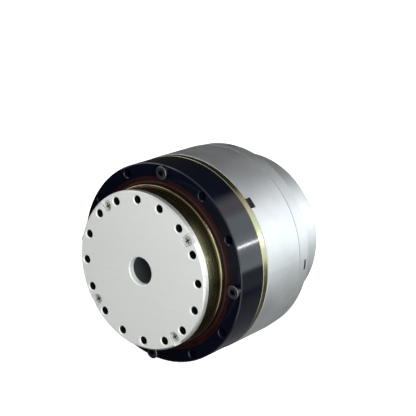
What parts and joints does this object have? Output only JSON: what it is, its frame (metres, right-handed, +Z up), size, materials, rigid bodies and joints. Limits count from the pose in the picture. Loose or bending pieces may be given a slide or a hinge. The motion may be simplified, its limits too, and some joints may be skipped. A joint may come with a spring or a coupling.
{
  "type": "robot joint actuator",
  "caption": "Hollow robot joint actuator: strain-wave gear, crossed roller bearing, torque motor, encoders and drive in one round housing.",
  "frame": {"origin": "centre of the output plate's front face, on the joint axis", "axes": "+Y along the joint axis from the output plate to the rear cover, +Z up with the actuator lying on its side, +X to its right"},
  "size_m": [0.11, 0.0993, 0.11],
  "materials": {
    "plate_aluminium": "satin",
    "gear_steel": "polished",
    "spring_steel": "polished",
    "bearing_steel": "polished",
    "black_steel": "satin",
    "black_screws": "satin",
    "nickel_screws": "satin",
    "housing_aluminium": "satin",
    "tube_aluminium": "satin",
    "seal_rubber": "matte",
    "spacer_nylon": "matte",
    "laminations": "satin",
    "magnets": "satin",
    "copper": "gloss",
    "post_brass": "satin",
    "board_green": "matte",
    "chip_black": "matte",
    "capacitor_can": "satin",
    "socket_black": "satin"
  },
  "bodies": {
    "base": {"bearing_outer_ring": "black_steel", "oil_seal": "seal_rubber", "flange_screws": "black_screws", "flexspline": "spring_steel", "motor_housing": "housing_aluminium", "locating_key": "black_screws", "stator_core": "laminations", "stator_coils": "copper", "bearing_plate": "housing_aluminium", "bearing_plate_screws": "nickel_screws", "rear_bearing_outer_ring": "bearing_steel", "rear_bearing_circlip": "spring_steel", "rear_housing": "housing_aluminium", "rear_housing_screws": "black_screws", "rear_cover": "housing_aluminium", "cover_screws": "nickel_screws", "lower_posts": "post_brass", "middle_posts": "post_brass", "rear_posts": "post_brass", "encoder_board": "board_green", "encoder_sensors": "chip_black", "driver_board": "board_green", "drive_capacitors": "capacitor_can", "drive_switches": "chip_black", "power_socket": "socket_black", "signal_socket": "socket_black", "socket_pins": "post_brass"},
    "output": {"output_plate": "plate_aluminium", "plate_screws": "nickel_screws", "circular_spline": "gear_steel", "spline_screws": "black_screws", "bearing_inner_ring": "gear_steel", "front_bearing_outer_ring": "bearing_steel", "cable_tube": "tube_aluminium", "output_encoder_disc": "magnets"},
    "rollers": {"crossed_rollers": "bearing_steel", "roller_spacers": "spacer_nylon"},
    "rotor": {"input_shaft": "gear_steel", "wave_generator_plug": "gear_steel", "wave_screws": "black_screws", "wave_inner_race": "gear_steel", "wave_outer_race": "gear_steel", "wave_balls": "bearing_steel", "front_bearing_inner_ring": "bearing_steel", "rear_bearing_inner_ring": "bearing_steel", "rotor_core": "laminations", "rotor_magnets": "magnets", "shaft_nut": "gear_steel", "motor_encoder_disc": "magnets"}
  },
  "joints": [
    {"name": "output_spin", "type": "hinge", "parent": "base", "child": "output", "pos_m": [0, 0, 0], "axis": [0, 1, 0], "continuous": true},
    {"name": "rotor_spin", "type": "hinge", "parent": "base", "child": "rotor", "pos_m": [0, 0, 0], "axis": [0, 1, 0], "continuous": true},
    {"name": "roller_orbit", "type": "hinge", "parent": "base", "child": "rollers", "pos_m": [0, 0, 0], "axis": [0, 1, 0], "continuous": true}
  ],
  "couplings": [
    {"joint": "rotor_spin", "follows": "output_spin", "ratio": 51},
    {"joint": "roller_orbit", "follows": "output_spin", "ratio": 0.4865}
  ]
}
